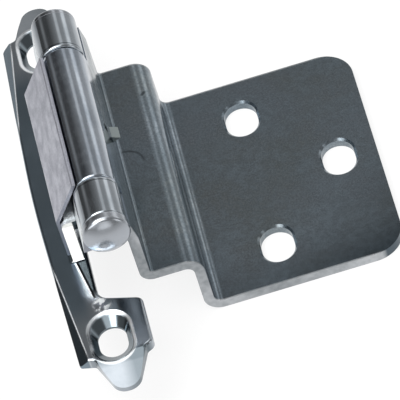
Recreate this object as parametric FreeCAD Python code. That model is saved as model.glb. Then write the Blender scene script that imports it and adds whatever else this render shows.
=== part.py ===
import FreeCAD, Part
import math
import os

# Self-closing face-mount hinge for a cabinet door with a rebate. All sizes in mm.
# X runs towards the door, Y along the pin, Z away from the cabinet's face frame.
# Z = 0 is the plane of the frame's face. X = 0, Y = 0 lies midway between the frame screws.

V = FreeCAD.Vector

# Fits
runClear = 0.05          # radial clearance of the leaf's bore on the pin
knuckleGap = 0.10        # axial gap between neighbouring knuckles
springClear = 0.05       # between the closing spring and the round of the knuckle

# Pin and barrel
pinR = 1.55
axisX = 3.45
axisZ = 13.1
standOff = 0.6           # the leaf's tread stands this far off the frame's face
barrelHalf = 19.05       # half the length of the barrel
knuckleHalf = 12.3       # half the length of the middle knuckle
knuckleRound = 0.35      # rounded ends of the knuckles
tipWide = 0.25           # blunt end of the leaf's sheet beside the outer knuckles
headR = 3.25             # the pin's domed head, a little wider than the barrel
headHigh = 2.5
crownR = 5.0
headRound = 0.7
tailHead = 0.9           # low button that closes the pin's other end
tailRound = 0.5

# Frame wing
wingT = 1.55
neckX = -0.4             # right edge of the wing between its ears
wallLeft = -2.45         # outer face of the upright wall
armRoot = 0.6            # the wall's ends reach this far past the arms' inner ends
wallFootIn = 0.6
shelfZ = 9.4             # top of the wall, where the sheet turns towards the barrel
shelfRound = 0.9         # outer radius of the shelf's two bends
shelfHollow = 0.3        # inner radius of the same bends
armDir = 171.0           # where an arm runs into its knuckle, degrees from +X
armFootZ = 9.6           # lower edge of the arms beyond the wall's ends
bandZ = 10.4             # between the arms the sheet is cut down to this height
rollOpen = 66.0          # angle left open at the end of each rolled knuckle
bowX = -6.05             # left edge halfway along the wing
cornerX = -5.1           # left edge at the ears
earX = 5.25
earInY = 22.1            # where the ear's inner edge meets its right edge
neckY = 20.1             # where the ear's inner edge meets the neck
earEndY = 30.0
tongueX = 0.55
tongueBase = 3.55
tongueBaseY = 30.6
tongueTip = 1.46
tongueTipY = 36.0
tipR = 2.0
tongueSlope = 8.0        # each finial falls away towards its tip, degrees
earR = 1.1
cornerR = 0.5
neckR = 1.8
shoulderR = 0.6
wingRim = 0.4            # rolled edge of the pressed wing
facetWide = 1.4          # flat bevel at the wing's left corners
facetDrop = 1.25
facetStartY = 9.0        # the bevel fades out here

# Frame screw slots
frameScrewY = 27.4
frameSlotW = 3.95
frameSlotL = 5.2
sinkW = 5.7
sinkL = 8.7
sinkDepth = 1.2
sinkLip = 0.25           # depth and reach of the countersink's flared lip

# Door leaf
leafT = 1.4
flangeRight = 7.15
flangeBendZ = 9.3
footIn = 0.5
treadIn = 1.2            # inner radius of the two bends of the riser
riserRight = 14.2
rise = 9.525             # depth of the door's rebate
plateRight = 41.2
plateR = 4.5

# Door screw slots
doorHoleX = 24.4
doorHoleY = 12.05
midHoleX = 35.8
doorSlotW = 4.6
doorSlotL = 6.2
doorRim = 0.3

# Spur on the flange
spurZ = 9.7
spurOut = 1.15
spurHalf = 1.0
spurHigh = 1.5
recessW = 1.1
recessH = 1.2
recessDepth = 0.5
recessZ = 11.2

# Closing spring
springT = 0.5
springHalf = 12.2
springDir = 149.0        # the strip's slope is square to this direction
springFootZ = 2.4
springPast = 0.6         # how far the strip runs past the top of its own round
springBendR = 0.9
springEdge = 0.3         # rounded outer edge of the strip's free end
camDepth = 0.15          # flat on the knuckle under the spring

leafBore = pinR + runClear
wingR = pinR + wingT
leafR = leafBore + leafT
wallRight = wallLeft + wingT
armInY = knuckleHalf + knuckleGap
wallHalf = armInY + armRoot
axisPoint = V(axisX, 0, axisZ)


def polar(radius, degrees):
    a = math.radians(degrees)
    return (axisX + radius * math.cos(a), axisZ + radius * math.sin(a))


def alongLine(point, degrees, x):
    """Height of the line through the point at the given slope where it reaches x."""
    return point[1] + (x - point[0]) * math.tan(math.radians(degrees))


def roundedWire(points, place):
    """Closed wire through (u, v, radius) corners. place turns (u, v) into a vector."""
    n = len(points)
    starts = []
    for i in range(n):
        u, v, r = points[i]
        corner = V(u, v, 0)
        before = V(points[i - 1][0], points[i - 1][1], 0) - corner
        after = V(points[(i + 1) % n][0], points[(i + 1) % n][1], 0) - corner
        before.normalize()
        after.normalize()
        if r <= 0:
            starts.append((corner, None, corner))
            continue
        half = before.getAngle(after) / 2
        reach = r / math.tan(half)
        middle = before + after
        middle.normalize()
        centre = corner + middle * (r / math.sin(half))
        starts.append((corner + before * reach, centre - middle * r, corner + after * reach))
    edges = []
    for i in range(n):
        first, middle, last = starts[i]
        nextFirst = starts[(i + 1) % n][0]
        if middle is not None:
            arc = Part.Arc(place(first.x, first.y), place(middle.x, middle.y), place(last.x, last.y))
            edges.append(arc.toShape())
        if (nextFirst - last).Length > 1e-6:
            edges.append(Part.makeLine(place(last.x, last.y), place(nextFirst.x, nextFirst.y)))
    return Part.Wire(edges)


def sideProfile(points, y0, y1):
    """Solid from a profile in the XZ plane, run along Y from y0 to y1."""
    wire = roundedWire(points, lambda u, v: V(u, y0, v))
    return Part.Face(wire).extrude(V(0, y1 - y0, 0))


def flatProfile(points, z0, z1):
    """Solid from an outline in the XY plane between two heights."""
    wire = roundedWire(points, lambda u, v: V(u, v, z0))
    return Part.Face(wire).extrude(V(0, 0, z1 - z0))


def roundBar(radius, y0, y1):
    return Part.makeCylinder(radius, y1 - y0, V(axisX, y0, axisZ), V(0, 1, 0))


def rolledKnuckle(inner, outer, a0, a1, y0, y1):
    """Rolled tube about the axis from angle a0 to a1, in degrees seen from the -Y side."""
    mid = (a0 + a1) / 2

    def at(radius, angle):
        x, z = polar(radius, angle)
        return V(x, y0, z)

    edges = [
        Part.Arc(at(outer, a0), at(outer, mid), at(outer, a1)).toShape(),
        Part.makeLine(at(outer, a1), at(inner, a1)),
        Part.Arc(at(inner, a1), at(inner, mid), at(inner, a0)).toShape(),
        Part.makeLine(at(inner, a0), at(outer, a0)),
    ]
    return Part.Face(Part.Wire(edges)).extrude(V(0, y1 - y0, 0))


def roundedEnds(roll, outer):
    """The rolled knuckle with its ends rounded, but for the one that meets the pin's button."""
    ends = [e for e in roll.Edges if isinstance(e.Curve, Part.Circle)
            and abs(e.Curve.Radius - outer) < 0.001 and e.BoundBox.YMax < barrelHalf - 0.001]
    return roll.makeFillet(knuckleRound, ends)


def slotWire(x, y, width, length, z):
    """Oblong outline along Y with round ends."""
    r = width / 2
    s = length / 2 - r
    edges = [
        Part.makeLine(V(x + r, y - s, z), V(x + r, y + s, z)),
        Part.Arc(V(x + r, y + s, z), V(x, y + s + r, z), V(x - r, y + s, z)).toShape(),
        Part.makeLine(V(x - r, y + s, z), V(x - r, y - s, z)),
        Part.Arc(V(x - r, y - s, z), V(x, y - s - r, z), V(x + r, y - s, z)).toShape(),
    ]
    return Part.Wire(edges)


def slotCut(x, y, width, length, z0, z1):
    return Part.Face(slotWire(x, y, width, length, z0)).extrude(V(0, 0, z1 - z0))


# Frame wing: flat base
def wingOutline():
    """Outline of the flat wing, counterclockwise, as (x, y, corner radius)."""
    upper = [
        (neckX, neckY, neckR),
        (earX, earInY, earR),
        (earX, earEndY, earR),
        (tongueX + tongueBase, tongueBaseY, shoulderR),
        (tongueX + tongueTip, tongueTipY, tipR),
        (tongueX - tongueTip, tongueTipY, tipR),
        (tongueX - tongueBase, tongueBaseY, shoulderR),
        (cornerX, earEndY, cornerR),
    ]
    lower = [(x, -y, r) for x, y, r in reversed(upper)]
    return upper + [(bowX, 0, 200.0)] + lower


base = flatProfile(wingOutline(), 0, wingT)
topEdges = [e for e in base.Edges if e.BoundBox.ZMin > wingT - 0.001]
base = base.makeFillet(wingRim, topEdges)

# Finials slope down to their tips
slopeEndY = tongueTipY + 1
slopeDrop = (slopeEndY - tongueBaseY) * math.tan(math.radians(tongueSlope))
for side in (-1, 1):
    corners = [V(-10, side * tongueBaseY, wingT),
               V(-10, side * slopeEndY, wingT),
               V(-10, side * slopeEndY, wingT - slopeDrop),
               V(-10, side * tongueBaseY, wingT)]
    base = base.cut(Part.Face(Part.makePolygon(corners)).extrude(V(20, 0, 0)))

# Flat bevels at the wing's left corners, each fading out towards the middle
for side in (-1, 1):
    points = [V(bowX + 0.15, side * facetStartY, wingT),
              V(cornerX + facetWide, side * earEndY, wingT),
              V(cornerX, side * earEndY, wingT - facetDrop)]
    normal = (points[1] - points[0]).cross(points[2] - points[0])
    if normal.z < 0:
        normal = normal * -1
    slab = Part.makeBox(60, 60, 20, V(-30, -30, 0))
    slab.Placement = FreeCAD.Placement(points[1], FreeCAD.Rotation(V(0, 0, 1), normal))
    reach = Part.makeBox(20, tongueTipY, 10, V(-20, 0 if side > 0 else -tongueTipY, -1))
    reach.translate(V(cornerX + facetWide, 0, 0))
    base = base.cut(slab.common(reach))

# Frame wing: wall, shelf, arms and outer knuckles
armSlope = armDir - 90
armOut = polar(wingR, armDir)
armIn = polar(pinR, armDir)


def armX(point, z):
    """Where the arm's face through the point is at height z."""
    return point[0] - (point[1] - z) / math.tan(math.radians(armSlope))


shelfBack = shelfZ - wingT
wallProfile = [
    (wallRight, 0, 0),
    (wallRight, shelfBack, shelfHollow),
    (armX(armIn, shelfBack), shelfBack, shelfRound),
    (armX(armIn, bandZ), bandZ, 0),
    (armX(armOut, bandZ), bandZ, 0),
    (armX(armOut, shelfZ), shelfZ, shelfHollow),
    (wallLeft, shelfZ, shelfRound),
    (wallLeft, wingT, wallFootIn),
    (wallLeft - 2.0, wingT, 0),
    (wallLeft - 2.0, 0, 0),
]
armProfile = [
    (armX(armIn, armFootZ), armFootZ, 0),
    (armIn[0], armIn[1], 0),
    (armOut[0], armOut[1], 0),
    (armX(armOut, armFootZ), armFootZ, 0),
]
wing = base.fuse(sideProfile(wallProfile, -wallHalf, wallHalf))
for y0, y1 in ((armInY, barrelHalf), (-barrelHalf, -armInY)):
    wing = wing.fuse(sideProfile(armProfile, y0, y1))
    roll = rolledKnuckle(pinR, wingR, armDir - 360 + rollOpen, armDir, y0, y1)
    wing = wing.fuse(roundedEnds(roll, wingR))

for side in (-1, 1):
    y = side * frameScrewY
    wing = wing.cut(slotCut(0, y, frameSlotW, frameSlotL, -1, wingT + 1))
    lipW = sinkW - (sinkW - frameSlotW) * sinkLip / sinkDepth
    lipL = sinkL - (sinkL - frameSlotL) * sinkLip / sinkDepth
    sections = [slotWire(0, y, frameSlotW, frameSlotL, wingT - sinkDepth),
                slotWire(0, y, lipW, lipL, wingT - sinkLip),
                slotWire(0, y, sinkW + 2 * sinkLip, sinkL + 2 * sinkLip, wingT)]
    wing = wing.cut(Part.makeLoft(sections, True, True))
wing = wing.removeSplitter()

# Door leaf: bent sheet from the knuckle to the plate
flangeLeft = flangeRight - leafT
toBend = math.hypot(flangeRight - axisX, flangeBendZ - axisZ)
bendAngle = math.degrees(math.atan2(axisZ - flangeBendZ, axisX - flangeRight))
leafDir = bendAngle - math.degrees(math.asin(leafR / toBend)) - 90
leafOut = polar(leafR, leafDir)
leafIn = polar(leafBore, leafDir)
leafSlope = leafDir + 90
innerBendZ = alongLine(leafIn, leafSlope, flangeLeft)
riserLeft = riserRight - leafT
treadFront = standOff + leafT
plateBack = standOff - rise
plateFront = plateBack + leafT
treadOut = treadIn + leafT
leafProfile = [
    (leafOut[0], leafOut[1], 0),
    (leafIn[0], leafIn[1], 0),
    (flangeLeft, innerBendZ, 2.0),
    (flangeLeft, standOff, footIn + leafT),
    (riserLeft, standOff, treadIn),
    (riserLeft, plateBack, treadOut),
    (plateRight, plateBack, 0),
    (plateRight, plateFront, 0),
    (riserRight, plateFront, treadIn),
    (riserRight, treadFront, treadOut),
    (flangeRight, treadFront, footIn),
    (flangeRight, flangeBendZ, 2.0),
]
leaf = sideProfile(leafProfile, -barrelHalf, barrelHalf)

# Beside the outer knuckles the sheet is hollowed to their round and ends blunt
notchR = wingR + knuckleGap
notchReach = math.sqrt(notchR ** 2 - (leafR - tipWide) ** 2)
for y0, y1 in ((knuckleHalf, barrelHalf + 1), (-barrelHalf - 1, -knuckleHalf)):
    notch = Part.makeBox(2 * leafR, y1 - y0, 2 * leafR, V(0, y0, -notchReach))
    notch.rotate(V(0, 0, 0), V(0, 1, 0), -leafDir)
    notch.translate(axisPoint)
    leaf = leaf.cut(notch).cut(roundBar(notchR, y0, y1))
roll = rolledKnuckle(leafBore, leafR, leafDir, leafDir + 360 - rollOpen, -knuckleHalf, knuckleHalf)
leaf = leaf.fuse(roundedEnds(roll, leafR))

# Plate corners
for side in (-1, 1):
    block = Part.makeBox(plateR, plateR, 4, V(plateRight - plateR, 0, plateBack - 1))
    block.translate(V(0, barrelHalf - plateR if side > 0 else -barrelHalf, 0))
    disc = Part.makeCylinder(plateR, 4, V(plateRight - plateR, side * (barrelHalf - plateR),
                                          plateBack - 1))
    leaf = leaf.cut(block.cut(disc))

# Slotted screw holes with a rounded front rim
doorHoles = [(doorHoleX, doorHoleY), (doorHoleX, -doorHoleY), (midHoleX, 0)]
for x, y in doorHoles:
    leaf = leaf.cut(slotCut(x, y, doorSlotW, doorSlotL, plateBack - 1, plateFront + 1))
    low = slotWire(x, y, doorSlotW, doorSlotL, plateFront - doorRim)
    high = slotWire(x, y, doorSlotW + 2 * doorRim, doorSlotL + 2 * doorRim, plateFront)
    leaf = leaf.cut(Part.makeLoft([low, high], True, True))

# Flat on the knuckle under the closing spring
flat = Part.makeBox(2.0, 2 * springHalf + 0.2, 2 * leafR, V(0, -springHalf - 0.1, -leafR))
flat.translate(V(leafR - camDepth, 0, 0))
flat.rotate(V(0, 0, 0), V(0, 1, 0), -springDir)
flat.translate(axisPoint)
leaf = leaf.cut(flat)

# Lanced spur and its recess on the flange
spur = sideProfile([
    (flangeRight - 0.4, spurZ - spurHigh / 2, 0),
    (flangeRight + spurOut, spurZ, 0),
    (flangeRight - 0.4, spurZ + spurHigh / 2, 0),
], -spurHalf, spurHalf)
recessX = leafOut[0] + (recessZ - leafOut[1]) / math.tan(math.radians(leafSlope))
recess = Part.makeBox(recessDepth + 1, recessW, recessH,
                      V(recessX - recessDepth, -recessW / 2, recessZ - recessH / 2))
leaf = leaf.fuse(spur).cut(recess)
leaf = leaf.removeSplitter()

# Pin: domed head at one end, low button at the other
pin = roundBar(pinR, -barrelHalf, barrelHalf)
button = roundBar(wingR, barrelHalf, barrelHalf + tailHead)
rim = [e for e in button.Edges if e.BoundBox.YMin > barrelHalf + tailHead - 0.001]
button = button.makeFillet(tailRound, rim)
head = roundBar(headR, -barrelHalf - headHigh, -barrelHalf)
head = head.common(Part.makeSphere(crownR, V(axisX, crownR - headHigh - barrelHalf, axisZ)))
crownRim = []
heelRim = []
for edge in head.Edges:
    box = edge.BoundBox
    if box.YLength < 0.001 and box.XLength > headR:
        (heelRim if box.YMax > -barrelHalf - 0.001 else crownRim).append(edge)
head = head.makeFillet(headRound, crownRim)
heelRim = [e for e in head.Edges if e.BoundBox.YMin > -barrelHalf - 0.001]
head = head.makeFillet(tailRound / 2, heelRim)
pin = pin.fuse(head).fuse(button).removeSplitter()

# Closing spring: foot flat on the wall, then leaning over the middle knuckle
springIn = leafR + springClear
springOut = springIn + springT
footOut = wallLeft - springT
crestOut = polar(springOut, springDir)
crestIn = polar(springIn, springDir)
springSlope = springDir - 90
sx = math.cos(math.radians(springSlope)) * springPast
sz = math.sin(math.radians(springSlope)) * springPast
springProfile = [
    (wallLeft, springFootZ, 0),
    (wallLeft, alongLine(crestIn, springSlope, wallLeft), springBendR - springT),
    (crestIn[0] + sx, crestIn[1] + sz, 0),
    (crestOut[0] + sx, crestOut[1] + sz, springEdge),
    (footOut, alongLine(crestOut, springSlope, footOut), springBendR),
    (footOut, springFootZ, 0),
]
spring = sideProfile(springProfile, -springHalf, springHalf)

os.makedirs("parts", exist_ok=True)
wing.exportStep("parts/frame_wing.step")
leaf.exportStep("parts/door_leaf.step")
pin.exportStep("parts/hinge_pin.step")
spring.exportStep("parts/closing_spring.step")
for name, shape in (("wing", wing), ("leaf", leaf), ("pin", pin), ("spring", spring)):
    b = shape.BoundBox
    print(name, len(shape.Solids), shape.isValid(), round(shape.Volume, 1),
          [round(v, 2) for v in (b.XMin, b.XMax, b.YMin, b.YMax, b.ZMin, b.ZMax)])
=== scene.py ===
import bpy, bmesh
import math
from mathutils import Vector, Matrix

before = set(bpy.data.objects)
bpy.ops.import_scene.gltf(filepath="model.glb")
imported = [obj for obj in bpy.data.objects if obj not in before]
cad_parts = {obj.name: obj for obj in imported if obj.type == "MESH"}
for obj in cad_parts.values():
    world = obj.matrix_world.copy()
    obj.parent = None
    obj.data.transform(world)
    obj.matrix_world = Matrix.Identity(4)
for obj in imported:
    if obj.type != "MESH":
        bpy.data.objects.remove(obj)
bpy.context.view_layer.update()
scene = bpy.context.scene
mmPerMetre = 1000.0
print("frame loaded")


class Sock:
    # wraps one output socket so that shader maths can be written as plain expressions
    def __init__(self, tree, socket):
        self.tree = tree
        self.socket = socket

    def mathNode(self, operation, a, b=None):
        node = self.tree.nodes.new("ShaderNodeMath")
        node.operation = operation
        for slot, value in zip(node.inputs, (a, b)):
            if isinstance(value, Sock):
                self.tree.links.new(value.socket, slot)
            elif value is not None:
                slot.default_value = value
        return Sock(self.tree, node.outputs[0])

    def __add__(self, other): return self.mathNode("ADD", self, other)
    def __radd__(self, other): return self.mathNode("ADD", other, self)
    def __sub__(self, other): return self.mathNode("SUBTRACT", self, other)
    def __rsub__(self, other): return self.mathNode("SUBTRACT", other, self)
    def __mul__(self, other): return self.mathNode("MULTIPLY", self, other)
    def __rmul__(self, other): return self.mathNode("MULTIPLY", other, self)
    def __truediv__(self, other): return self.mathNode("DIVIDE", self, other)
    def __pow__(self, other): return self.mathNode("POWER", self, other)
    def __abs__(self): return self.mathNode("ABSOLUTE", self)
    def atLeast(self, other): return self.mathNode("MAXIMUM", self, other)
    def clamped(self): return self.mathNode("MINIMUM", self.atLeast(0.0), 1.0)

    # 0 below low, 1 above high, straight in between; low may be the larger one
    def step(self, low, high):
        return ((self - low) / (high - low)).clamped()

    # 1 inside low..high with soft borders
    def band(self, low, high, soft):
        return self.step(low - soft, low + soft) * self.step(high + soft, high - soft)


def reachFrom(dx, dy):
    return (dx * dx + dy * dy) ** 0.5


class Tree:
    # builds one node tree, of a material or of the world
    def __init__(self, owner):
        owner.use_nodes = True
        self.tree = owner.node_tree
        self.tree.nodes.clear()

    def node(self, kind, settings=None, **inputs):
        made = self.tree.nodes.new(kind)
        for key, value in (settings or {}).items():
            setattr(made, key, value)
        for key, value in inputs.items():
            slot = made.inputs[int(key[1:])] if key[0] == "_" else made.inputs[key.replace("_", " ")]
            if isinstance(value, Sock):
                value = value.socket
            if isinstance(value, bpy.types.NodeSocket):
                self.tree.links.new(value, slot)
            else:
                slot.default_value = value
        return made

    def value(self, made, output=0):
        return Sock(self.tree, made.outputs[output])

    def axes(self, vector):
        parts = self.node("ShaderNodeSeparateXYZ", _0=vector)
        return [self.value(parts, i) for i in range(3)]

    def mixColour(self, mask, a, b):
        made = self.node("ShaderNodeMix", {"data_type": "RGBA"}, _0=mask, _6=a, _7=b)
        return self.value(made, 2)


class Finish(Tree):
    # one procedural material; x, y and z are the piece's own coordinates in mm
    def __init__(self, name):
        self.material = bpy.data.materials.new(name)
        super().__init__(self.material)
        self.coords = self.node("ShaderNodeTexCoord").outputs["Object"]
        self.x, self.y, self.z = (a * mmPerMetre for a in self.axes(self.coords))

    def noise(self, scale, detail, stretch=None):
        coords = self.coords
        if stretch:
            coords = self.node("ShaderNodeMapping", {}, Vector=coords, Scale=stretch).outputs[0]
        return self.value(self.node("ShaderNodeTexNoise", {}, Vector=coords, Scale=scale, Detail=detail))

    # noise between its levels low and high, spread over 0..1
    def spots(self, scale, detail, low, high, stretch=None):
        return self.noise(scale, detail, stretch).step(low, high)

    def finish(self, colour, roughness, bump, bumpDepth):
        made = self.node("ShaderNodeBump", {}, Strength=1.0, Distance=bumpDepth, Height=bump)
        shader = self.node("ShaderNodeBsdfPrincipled", {}, Base_Color=colour, Roughness=roughness,
                           Metallic=1.0, Normal=made.outputs[0])
        self.node("ShaderNodeOutputMaterial", {}, Surface=shader.outputs[0])
        return self.material


# In the looks below, places are in mm of the piece's own x, y and z. A pair is where a mask starts and
# where it is full, three numbers are a band's two borders and their softness, and a noise has its scale,
# its detail and the two levels it is spread between. A mix value is how strongly a layer shows.

# Polished chrome of the frame wing. Both ends are alike, so all y but nearY count from the middle either
# way. A line is its x at the start, the y where it starts, and the x it gains per mm of y. The painted
# highlight spot is a point, with its reach around it.
wingLook = dict(
    chrome=(0.42, 0.455, 0.49, 1), haze=(0.29, 0.325, 0.36, 1), strip=(0.21, 0.265, 0.31, 1),
    wallEnd=(0.97, 0.97, 0.93, 1), armEnd=(0.40, 0.41, 0.45, 1), armSide=(0.80, 0.84, 0.86, 1),
    shade=(0.07, 0.09, 0.10, 1), crest=(0.90, 0.92, 0.94, 1), neck=(0.06, 0.075, 0.085, 1),
    sink=(0.16, 0.19, 0.21, 1),
    hazeNoise=(260.0, 3.0, 0.35, 0.65), grainNoise=(700.0, 3.0, 0.3, 0.7), fineNoise=(2600.0, 2.0),
    flatZ=(1.75, 1.6), stripX=(-1.4, -2.6), stripY=(25.0, 21.0),
    crestLine=(-5.9, 9.0, 0.105), crestX=(-0.05, 0.12, 0.07), crestY=(13.0, 29.5, 1.5),
    bevelX=(0.0, 0.2), bevelY=(9.0, 14.0),
    neckLine=(-2.3, 13.0, 0.17), neckX=(0.1, 0.4), neckY=(8.0, 19.5, 0.8),
    highlightLineX=(-0.1, 0.1, 0.07), highlightLineY=(13.2, 19.5, 0.5),
    screwY=27.4, sinkHalf=1.5, sinkReach=(2.7, 2.5), lipReach=(2.75, 3.15, 0.12), lipZ=(1.1, 1.3),
    lipMix=0.45, lipHaze=0.5, glintSpot=(-0.2, 21.6), glintReach=(1.5, 0.9), glintGrain=(0.35, 0.6),
    finialY=(30.0, 30.6), nearY=(1.0, -1.0), nearMix=0.75, farMix=0.25,
    finialSide=(0.2, 2.1), sideMix=0.85, shoulderY=(30.3, 31.8, 0.5), shoulderMix=0.7,
    wallY=(12.94, 13.06, 0.04), wallX=(-0.85, -0.95), wallZ=(1.65, 1.8),
    armEndY=(18.97, 19.13, 0.04), armEndZ=(9.0, 9.3),
    armSideX=(0.75, 0.45), armSideY=(12.25, 18.95, 0.05), armSideZ=(8.8, 13.4, 0.2),
    shelfX=(0.1, -0.2), shelfY=(12.6, 12.3), shelfZ=(9.33, 9.47, 0.05),
    hazeMix=0.5, crestMix=0.9, wallGrain=0.35,
    rough=0.10, hazeRough=0.08, armEndRough=0.18, armGrainRough=0.10, armSideRough=0.38,
    shelfRough=0.55, markRough=0.28, bumpDepth=0.000002, wallLean=270.0, neckDip=60.0)


def wingFinish():
    w = wingLook
    f = Finish("wingChrome")
    haze = f.spots(*w["hazeNoise"])
    grain = f.spots(*w["grainNoise"])
    away = abs(f.y)
    low = f.z.step(*w["flatZ"])

    def pastLine(startX, startY, slope):
        return f.x - (startX + (away - startY) * slope)

    # flat strip left of the wall and the bevels that carry it on to the corners, both darkened as painted
    # shade, with a painted highlight line along the crest
    strip = low * f.x.step(*w["stripX"]) * away.step(*w["stripY"])
    pastCrest = pastLine(*w["crestLine"])
    bevel = low * (0.0 - pastCrest).step(*w["bevelX"]) * away.step(*w["bevelY"])
    crest = low * pastCrest.band(*w["crestX"]) * away.band(*w["crestY"])
    # the neck under the arms, darkened as painted shade, with a painted highlight line where it leaves
    # the wall's foot
    pastFoot = pastLine(*w["neckLine"])
    neck = low * away.band(*w["neckY"]) * pastFoot.step(*w["neckX"])
    wearAndHighlight = low * away.band(*w["highlightLineY"]) * pastFoot.band(*w["highlightLineX"])
    # countersinks: painted shade inside, with a painted highlight on the rolled lip and a painted
    # highlight spot beside it
    along = (abs(away - w["screwY"]) - w["sinkHalf"]).atLeast(0.0)
    reach = reachFrom(f.x, along)
    sink = reach.step(*w["sinkReach"])
    lip = reach.band(*w["lipReach"]) * f.z.step(*w["lipZ"]) * (w["lipMix"] + haze * w["lipHaze"])
    glintX, glintY = w["glintSpot"]
    glintSpot = reachFrom(f.x - glintX, away - glintY).step(*w["glintReach"]) * grain.step(*w["glintGrain"]) * low
    # finials: mirror bright at the left, with painted shade towards the door side and the shoulders,
    # strongest at the near end
    finial = away.step(*w["finialY"]) * (w["farMix"] + f.y.step(*w["nearY"]) * w["nearMix"])
    fall = f.x.step(*w["finialSide"]) * w["sideMix"] + away.band(*w["shoulderY"]) * w["shoulderMix"]
    # sheared ends of the wall, of the shelf and of the arms, and the arms' sides: the wall's ends are a
    # painted highlight, the shelf's ends painted shade, the arms' sides a painted reflection and the
    # shelf top lightened with painted light
    atWall = away.band(*w["wallY"]) * f.z.step(*w["wallZ"])
    wallEnd = atWall * f.x.step(*w["wallX"])
    shelfEnd = atWall - wallEnd
    armEnd = away.band(*w["armEndY"]) * f.z.step(*w["armEndZ"])
    armSide = away.band(*w["armSideY"]) * f.z.band(*w["armSideZ"]) * f.x.step(*w["armSideX"])
    shelfTop = f.z.band(*w["shelfZ"]) * f.x.step(*w["shelfX"]) * away.step(*w["shelfY"])
    # painted highlights: the line at the wall's foot, the countersink lips and the spots beside them
    marksAndPaintedLight = wearAndHighlight + lip + glintSpot

    colour = f.mixColour(haze * w["hazeMix"], w["chrome"], w["haze"])
    # painted shade: the flat strip and its bevels darkened
    colour = f.mixColour((strip + bevel).clamped(), colour, w["strip"])
    # painted shade: finials darkened towards the door side and the shoulders
    colour = f.mixColour((finial * fall).clamped(), colour, w["sink"])
    # painted shade on the necks under the arms
    colour = f.mixColour(neck, colour, w["neck"])
    # painted shade inside the countersinks
    colour = f.mixColour(sink, colour, w["sink"])
    # painted highlights: the crest line, the line at the wall's foot, the countersink lips and the spots
    # beside them
    colour = f.mixColour((crest * w["crestMix"] + marksAndPaintedLight).clamped(), colour, w["crest"])
    # painted light: the arms' sides carry a painted reflection, the shelf top is lightened in its shade
    colour = f.mixColour((armSide + shelfTop).clamped(), colour, w["armSide"])
    # painted shade on the shelf's ends
    colour = f.mixColour(shelfEnd.clamped(), colour, w["shade"])
    # painted highlight on the wall's sheared ends, broken by grain
    colour = f.mixColour(wallEnd * (1 - grain * w["wallGrain"]), colour, w["wallEnd"])
    colour = f.mixColour(armEnd, colour, w["armEnd"])

    rough = w["rough"] + haze * w["hazeRough"] + armEnd * (w["armEndRough"] + grain * w["armGrainRough"])
    rough = rough + armSide * w["armSideRough"] + shelfTop * w["shelfRough"]
    rough = rough + (crest + marksAndPaintedLight) * w["markRough"]
    # the wall's sheared ends lean back a little, so they catch the light in front, and the necks dip
    height = f.noise(*w["fineNoise"]) - wallEnd * f.z * w["wallLean"] - neck * f.y * w["neckDip"]
    return f.finish(colour, rough.clamped(), height, w["bumpDepth"])


# Door leaf: satin plate, polished knuckle, brighter sheared ends. The axis, dent and nick are points. The
# nick's turn is the direction it lies in, and its slim values shrink it along and across that. The y of
# the cut ends, seam and spur count from the middle either way.
leafLook = dict(
    plate=(0.30, 0.345, 0.385, 1), dull=(0.17, 0.21, 0.24, 1), warm=(0.27, 0.30, 0.305, 1),
    cut=(0.50, 0.52, 0.54, 1), cutDull=(0.27, 0.29, 0.305, 1), knuckle=(0.44, 0.48, 0.53, 1),
    stain=(0.24, 0.28, 0.33, 1), dark=(0.09, 0.115, 0.135, 1), spur=(0.30, 0.34, 0.34, 1),
    nickAndShade=(0.06, 0.075, 0.085, 1),
    cloudNoise=(55.0, 3.0, 0.42, 0.60), patchNoise=(140.0, 4.0, 0.40, 0.62),
    speckNoise=(1100.0, 3.0, 0.40, 0.62), dustNoise=(3600.0, 2.0, 0.38, 0.62),
    smearNoise=(420.0, 4.0, 0.45, 0.65), smearStretch=(1.0, 0.3, 1.0), fineNoise=(2200.0, 2.0),
    axis=(3.45, 13.1), knuckleReach=(3.75, 3.35), cutY=(18.75, 18.95),
    dent=(7.64, 0.82), dentReach=(2.52, 2.78, 0.14), dentX=(7.4, 7.8), dentY=(0.3, 1.6), dentZ=(1.0, 1.6),
    nick=(12.45, 13.15), nickTurn=(0.65, 0.76), nickSlim=(0.35, 3.0), nickReach=(0.45, 0.25),
    nickZ=(0.5, 1.2), seamReach=(3.2, 3.8, 0.15), seamPatch=(0.2, 0.6), seamY=(13.0, 11.5), seamMix=0.8,
    spurX=(7.15, 7.3), spurY=(1.3, 1.1), spurZ=(8.8, 10.7, 0.15),
    nearEdge=(-12.0, -18.5), nearEdgeMix=0.45, nearCorner=(40.0, 57.0), nearCornerMix=0.6,
    cloudMix=0.8, patchMix=0.6, speckMix=0.45, dustMix=0.35, smearMix=0.5, smearDust=0.15,
    cutPatch=0.7, cutSpeck=0.3, markMix=0.8,
    rough=0.17, patchRough=0.05, speckRough=0.05, knuckleRough=0.12, knuckleSpeck=0.06,
    cutRough=0.12, spurRough=0.25, bumpDepth=0.000003)


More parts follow.
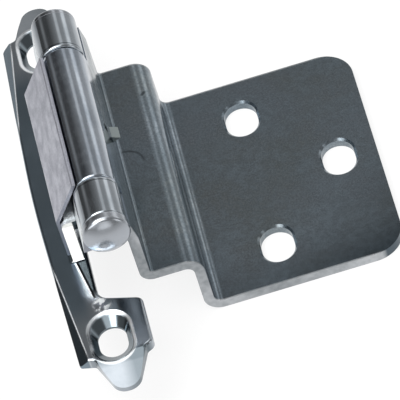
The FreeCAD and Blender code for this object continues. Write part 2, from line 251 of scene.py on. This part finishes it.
def leafFinish():
    w = leafLook
    f = Finish("leafChrome")
    cloud = f.spots(*w["cloudNoise"])
    patch = f.spots(*w["patchNoise"])
    speck = f.spots(*w["speckNoise"])
    dust = f.spots(*w["dustNoise"])
    smear = f.spots(*w["smearNoise"], stretch=w["smearStretch"])
    away = abs(f.y)
    axisX, axisZ = w["axis"]
    fromAxis = reachFrom(f.x - axisX, f.z - axisZ)
    knuckle = fromAxis.step(*w["knuckleReach"])
    cut = away.step(*w["cutY"])
    # part of a ring on the tread, painted shade along the edge of a shallow dent, and a slim nick beside
    # it
    dentX, dentY = w["dent"]
    dent = reachFrom(f.x - dentX, f.y - dentY).band(*w["dentReach"])
    dent = dent * f.x.step(*w["dentX"]) * f.y.step(*w["dentY"]) * f.z.step(*w["dentZ"])
    nickX, nickY = w["nick"]
    turnX, turnY = w["nickTurn"]
    slimLong, slimWide = w["nickSlim"]
    nickLong = (f.x - nickX) * turnX + (f.y - nickY) * turnY
    nickWide = (f.x - nickX) * turnY - (f.y - nickY) * turnX
    nick = (nickLong * nickLong * slimLong + nickWide * nickWide * slimWide) ** 0.5
    nick = nick.step(*w["nickReach"]) * f.z.step(*w["nickZ"])
    # painted shade in patches where the flange leaves the knuckle, and the bright broken face of the spur
    seam = fromAxis.band(*w["seamReach"]) * patch.step(*w["seamPatch"]) * away.step(*w["seamY"])
    spur = f.x.step(*w["spurX"]) * away.step(*w["spurY"]) * f.z.band(*w["spurZ"])
    # darker towards the near edge and the outer near corner
    dim = f.y.step(*w["nearEdge"]) * w["nearEdgeMix"]
    dim = dim + (f.x - f.y).step(*w["nearCorner"]) * w["nearCornerMix"]

    colour = f.mixColour(cloud * w["cloudMix"], w["plate"], w["warm"])
    colour = f.mixColour(patch * w["patchMix"], colour, w["dull"])
    colour = f.mixColour(speck * w["speckMix"], colour, w["dull"])
    colour = f.mixColour(dust * w["dustMix"], colour, w["dark"])
    colour = f.mixColour(dim.clamped(), colour, w["dark"])
    barrel = f.mixColour(smear * w["smearMix"] + dust * w["smearDust"], w["knuckle"], w["stain"])
    colour = f.mixColour(knuckle, colour, barrel)
    wearAndHighlight = (patch * w["cutPatch"] + speck * w["cutSpeck"]).clamped()
    colour = f.mixColour(cut, colour, f.mixColour(wearAndHighlight, w["cut"], w["cutDull"]))
    # the dent ring and the seam are painted shade, the nick is a real mark
    marksAndPaintedLight = (dent + nick + seam * w["seamMix"]).clamped() * w["markMix"]
    colour = f.mixColour(marksAndPaintedLight, colour, w["nickAndShade"])
    colour = f.mixColour(spur, colour, w["spur"])

    rough = w["rough"] + patch * w["patchRough"] + speck * w["speckRough"]
    rough = rough * (1 - knuckle) + knuckle * (w["knuckleRough"] + speck * w["knuckleSpeck"])
    rough = rough + cut * w["cutRough"] + spur * w["spurRough"]
    return f.finish(colour, rough, f.noise(*w["fineNoise"]), w["bumpDepth"])


# Pin: polished, with its domed head a little duller
pinLook = dict(
    chrome=(0.44, 0.465, 0.50, 1), haze=(0.34, 0.365, 0.40, 1), hazeNoise=(300.0, 3.0, 0.35, 0.65),
    fineNoise=(2600.0, 2.0), headY=(-19.0, -19.3), hazeMix=0.35, rough=0.09, hazeRough=0.06,
    headRough=0.12, bumpDepth=0.0000015)


def pinFinish():
    w = pinLook
    f = Finish("pinChrome")
    haze = f.spots(*w["hazeNoise"])
    head = f.y.step(*w["headY"])
    colour = f.mixColour(haze * w["hazeMix"], w["chrome"], w["haze"])
    rough = w["rough"] + haze * w["hazeRough"] + head * w["headRough"]
    return f.finish(colour, rough, f.noise(*w["fineNoise"]), w["bumpDepth"])


# Closing spring: matte plated steel
springLook = dict(
    steel=(0.54, 0.55, 0.61, 1), dull=(0.34, 0.35, 0.40, 1), grainNoise=(900.0, 4.0, 0.35, 0.65),
    grainStretch=(1.0, 0.5, 1.0), dustNoise=(3600.0, 2.0, 0.38, 0.62), fineNoise=(2400.0, 2.0),
    grainMix=0.5, dustMix=0.3, rough=0.34, grainRough=0.12, bumpDepth=0.000009)


def springFinish():
    w = springLook
    f = Finish("springSteel")
    grain = f.spots(*w["grainNoise"], stretch=w["grainStretch"])
    dust = f.spots(*w["dustNoise"])
    colour = f.mixColour(grain * w["grainMix"] + dust * w["dustMix"], w["steel"], w["dull"])
    rough = w["rough"] + grain * w["grainRough"]
    return f.finish(colour, rough, f.noise(*w["fineNoise"]), w["bumpDepth"])


def dress(node, material):
    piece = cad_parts[node]
    piece.data.materials.clear()
    piece.data.materials.append(material)


dress("frame_wing", wingFinish())
dress("door_leaf", leafFinish())
dress("hinge_pin", pinFinish())
dress("closing_spring", springFinish())
print("finishes on")

# Camera: the photo's angle, worked out from points on the hinge. Angles are in degrees, distance and
# target in metres, focal, centre and side in pixels of the photo, sensor in mm.
shot = dict(azimuth=2.39, elevation=47.25, roll=18.45, distance=0.62965, target=(0.012, 0, 0.0006),
            focal=4619.9, centre=(159.86, 167.85), side=400.0, sensor=36.0, clip=(0.05, 20))


def makeCamera():
    a, e, r = (math.radians(shot[k]) for k in ("azimuth", "elevation", "roll"))
    back = Vector((math.sin(a) * math.cos(e), -math.cos(a) * math.cos(e), math.sin(e)))
    right = Vector((math.cos(a), math.sin(a), 0))
    up = back.cross(right)
    right, up = right * math.cos(r) - up * math.sin(r), right * math.sin(r) + up * math.cos(r)
    # the photo's middle is a little off the fitted axis, so the camera turns to it
    half = shot["side"] / 2
    dx = (half - shot["centre"][0]) / shot["focal"]
    dy = (half - shot["centre"][1]) / shot["focal"]
    newBack = (back - right * dx + up * dy).normalized()
    newRight = (right - newBack * right.dot(newBack)).normalized()
    newUp = newBack.cross(newRight)
    data = bpy.data.cameras.new("camera")
    data.lens = shot["focal"] / shot["side"] * shot["sensor"]
    data.sensor_width = shot["sensor"]
    data.clip_start, data.clip_end = shot["clip"]
    cam = bpy.data.objects.new("camera", data)
    scene.collection.objects.link(cam)
    place = Matrix((newRight, newUp, newBack)).transposed().to_4x4()
    place.translation = Vector(shot["target"]) + back * shot["distance"]
    cam.matrix_world = place
    scene.camera = cam


makeCamera()
print("camera placed")

# Floor and lamp, in metres and watts. The camera and the mirrors see the floor mostly as a glow, which in
# the mirrors is bright near the hinge and dims outwards, and other light meets its plain colour.
studio = dict(floorZ=-0.0090, floorSize=1.2, floorColour=(0.9, 0.9, 0.9, 1), glowMix=0.85,
              nearGlow=0.95, farGlow=0.45, nearDist=0.04, farDist=0.14,
              lampPlace=(-0.25, -0.15, 0.7), lampSize=(0.5, 0.5), lampPower=4.0)


def makeFloor():
    bm = bmesh.new()
    bmesh.ops.create_grid(bm, x_segments=1, y_segments=1, size=studio["floorSize"])
    bmesh.ops.translate(bm, verts=bm.verts, vec=(0, 0, studio["floorZ"]))
    mesh = bpy.data.meshes.new("floor")
    bm.to_mesh(mesh)
    bm.free()
    floor = bpy.data.objects.new("floor", mesh)
    scene.collection.objects.link(floor)
    f = Finish("floorPale")
    path = f.node("ShaderNodeLightPath")
    camera = f.value(path, "Is Camera Ray")
    seen = camera + f.value(path, "Is Glossy Ray") + f.value(path, "Is Transmission Ray")
    fall = (reachFrom(f.x, f.y) / mmPerMetre).step(studio["nearDist"], studio["farDist"])
    dim = studio["nearGlow"] - (studio["nearGlow"] - studio["farGlow"]) * fall
    level = camera + (1 - camera) * dim
    plain = f.node("ShaderNodeBsdfDiffuse", {}, Color=studio["floorColour"])
    glow = f.node("ShaderNodeEmission", {}, Color=level)
    mix = f.node("ShaderNodeMixShader", {}, _0=(seen * studio["glowMix"]).clamped(),
                 _1=plain.outputs[0], _2=glow.outputs[0])
    f.node("ShaderNodeOutputMaterial", {}, Surface=mix.outputs[0])
    mesh.materials.append(f.material)


def makeLamp(name, place, size, power):
    data = bpy.data.lights.new(name, "AREA")
    data.shape = "RECTANGLE"
    data.size, data.size_y = size
    data.energy = power
    lamp = bpy.data.objects.new(name, data)
    scene.collection.objects.link(lamp)
    lamp.location = place
    lamp.rotation_mode = "QUATERNION"
    lamp.rotation_quaternion = (-Vector(place)).to_track_quat("-Z", "Y")


# Soft boxes and dark flags around the table, as the polished parts show them. Side is the angle in
# degrees from straight up towards the door, along and up are the direction's y and z. The plain values
# and the ones that end in Glow are brightness, the others are borders as in the looks above.
room = dict(
    behind=(0.05, 0.25), darkGlow=0.085, riseSide=(-25, 10), riseGlow=0.24, liftSide=(5, 16),
    liftGlow=0.08, leftSide=(-64, -50, 6), leftGlow=0.24, innerSide=(15, 29, 3), innerGlow=0.46,
    outerSide=(55, 74, 4), outerGlow=0.72, farSide=(30, 60), farGlow=0.12,
    endAlong=(0.76, 0.88), endGlow=0.26,
    topSide=(-38, 14, 4), topAlong=(-0.60, 0.52, 0.04), topUp=(0.3, 0.5), topGlow=1.75,
    frontSide=(-75, -30, 6), frontAlong=(-0.80, -0.35, 0.08), frontGlow=2.0,
    windowSide=(55, 85, 5), windowAlong=(-0.62, -0.30, 0.06), windowGlow=1.6,
    restGlow=0.28, horizonAlong=(-0.90, -0.96), horizonUp=(0.0, 0.08), horizonGlow=1.1)


def makeWorld():
    world = bpy.data.worlds.new("studio")
    scene.world = world
    t = Tree(world)
    x, along, up = t.axes(t.node("ShaderNodeTexCoord").outputs["Generated"])
    side = x.mathNode("ARCTAN2", x, up) * (180.0 / math.pi)
    behind = along.step(*room["behind"])
    # seen past the barrel's crest: dark at the left, rising to the right, with two bright strips
    level = room["darkGlow"] + side.step(*room["riseSide"]) * room["riseGlow"]
    level = level + side.step(*room["liftSide"]) * room["liftGlow"]
    level = level + side.band(*room["leftSide"]) * room["leftGlow"]
    level = level + side.band(*room["innerSide"]) * room["innerGlow"]
    level = level + side.band(*room["outerSide"]) * room["outerGlow"]
    level = level + side.step(*room["farSide"]) * room["farGlow"]
    glow = level * behind + along.step(*room["endAlong"]) * room["endGlow"]
    glow = glow + (1 - behind) * room["restGlow"]
    # a bright patch in front, low over the horizon
    glow = glow + along.step(*room["horizonAlong"]) * up.step(*room["horizonUp"]) * room["horizonGlow"]
    # large soft box overhead
    top = along.band(*room["topAlong"]) * side.band(*room["topSide"]) * up.step(*room["topUp"])
    glow = glow + top * room["topGlow"]
    # soft box at the front left, and a small bright window at the front right
    glow = glow + side.band(*room["frontSide"]) * along.band(*room["frontAlong"]) * room["frontGlow"]
    glow = glow + side.band(*room["windowSide"]) * along.band(*room["windowAlong"]) * room["windowGlow"]
    camera = t.value(t.node("ShaderNodeLightPath"), "Is Camera Ray")
    background = t.node("ShaderNodeBackground", {}, Color=camera + (1 - camera) * glow)
    t.node("ShaderNodeOutputWorld", {}, Surface=background.outputs[0])


makeFloor()
makeLamp("keyLamp", studio["lampPlace"], studio["lampSize"], studio["lampPower"])
makeWorld()
scene.view_settings.view_transform = "Standard"
print("studio built")
